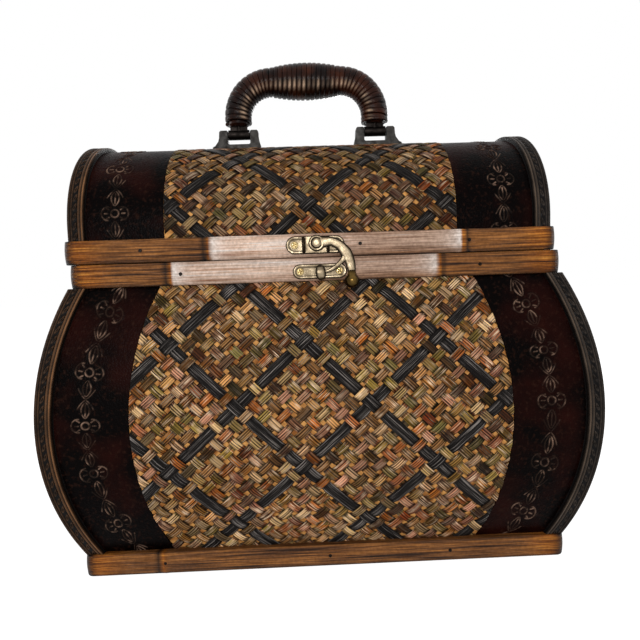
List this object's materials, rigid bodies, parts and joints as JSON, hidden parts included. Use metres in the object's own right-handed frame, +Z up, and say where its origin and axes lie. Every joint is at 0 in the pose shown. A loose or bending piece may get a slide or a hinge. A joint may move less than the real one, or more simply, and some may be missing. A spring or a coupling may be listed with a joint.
{
  "type": "domed trunk",
  "caption": "Domed trunk with bowed sides in woven bamboo and embossed leather, a hinged barrel-vaulted lid, a bound carrying handle and a swing-hook latch.",
  "frame": {"origin": "centre of the foot on the ground", "axes": "+Z up, -Y to the front with the latch, +X to the right of a person who faces the front"},
  "size_m": [0.3574, 0.1774, 0.3565],
  "materials": {
    "bamboo": "varnished split bamboo",
    "board": "plain board",
    "mat": "varnished woven bamboo strips",
    "hide": "embossed, almost black",
    "strip": "tooled and worn",
    "brass": "aged",
    "iron": "dull grey",
    "core": "hidden under the binding",
    "binding": "glossy dark cord"
  },
  "bodies": {
    "case": {"base_board": "board", "base_band": "bamboo", "front_board": "board", "rear_board": "board", "left_board": "board", "right_board": "board", "rim_band": "bamboo", "front_weave": "mat", "rear_weave": "mat", "front_left_leather": "hide", "front_right_leather": "hide", "rear_left_leather": "hide", "rear_right_leather": "hide", "left_end_leather": "hide", "right_end_leather": "hide", "front_left_trim": "strip", "front_right_trim": "strip", "rear_left_trim": "strip", "rear_right_trim": "strip", "catch_plate": "brass", "catch_staple": "brass", "catch_screws": "brass", "left_hinge_case_leaf": "brass", "right_hinge_case_leaf": "brass", "left_hinge_pin": "brass", "right_hinge_pin": "brass", "hinge_case_screws": "brass", "base_band_brads": "iron", "rim_band_brads": "iron"},
    "lid": {"lid_band": "bamboo", "lid_vault_board": "board", "lid_left_end_board": "board", "lid_right_end_board": "board", "lid_weave": "mat", "lid_left_leather": "hide", "lid_right_leather": "hide", "lid_left_end_leather": "hide", "lid_right_end_leather": "hide", "lid_left_trim": "strip", "lid_right_trim": "strip", "latch_plate": "brass", "latch_rivet": "brass", "latch_screw": "brass", "left_hinge_lid_leaf": "brass", "right_hinge_lid_leaf": "brass", "hinge_lid_screws": "brass", "lid_band_brads": "iron", "left_handle_bracket": "iron", "right_handle_bracket": "iron", "left_handle_pin": "iron", "right_handle_pin": "iron", "bracket_rivets": "iron"},
    "handle": {"handle_core": "core", "handle_wrap": "binding", "left_handle_eye": "iron", "right_handle_eye": "iron"},
    "hook": {"latch_hook": "brass"}
  },
  "joints": [
    {"name": "lid_hinge", "type": "hinge", "parent": "case", "child": "lid", "pos_m": [0, 0.07245, 0.20665], "axis": [-1, 0, 0], "range_deg": [0, 165]},
    {"name": "handle_swing", "type": "hinge", "parent": "lid", "child": "handle", "pos_m": [-0.0028, 0, 0.305], "axis": [1, 0, 0], "range_deg": [-100, 100]},
    {"name": "hook_swing", "type": "hinge", "parent": "lid", "child": "hook", "pos_m": [0, -0.0731, 0.21545], "axis": [0, -1, 0], "range_deg": [0, 90]}
  ]
}
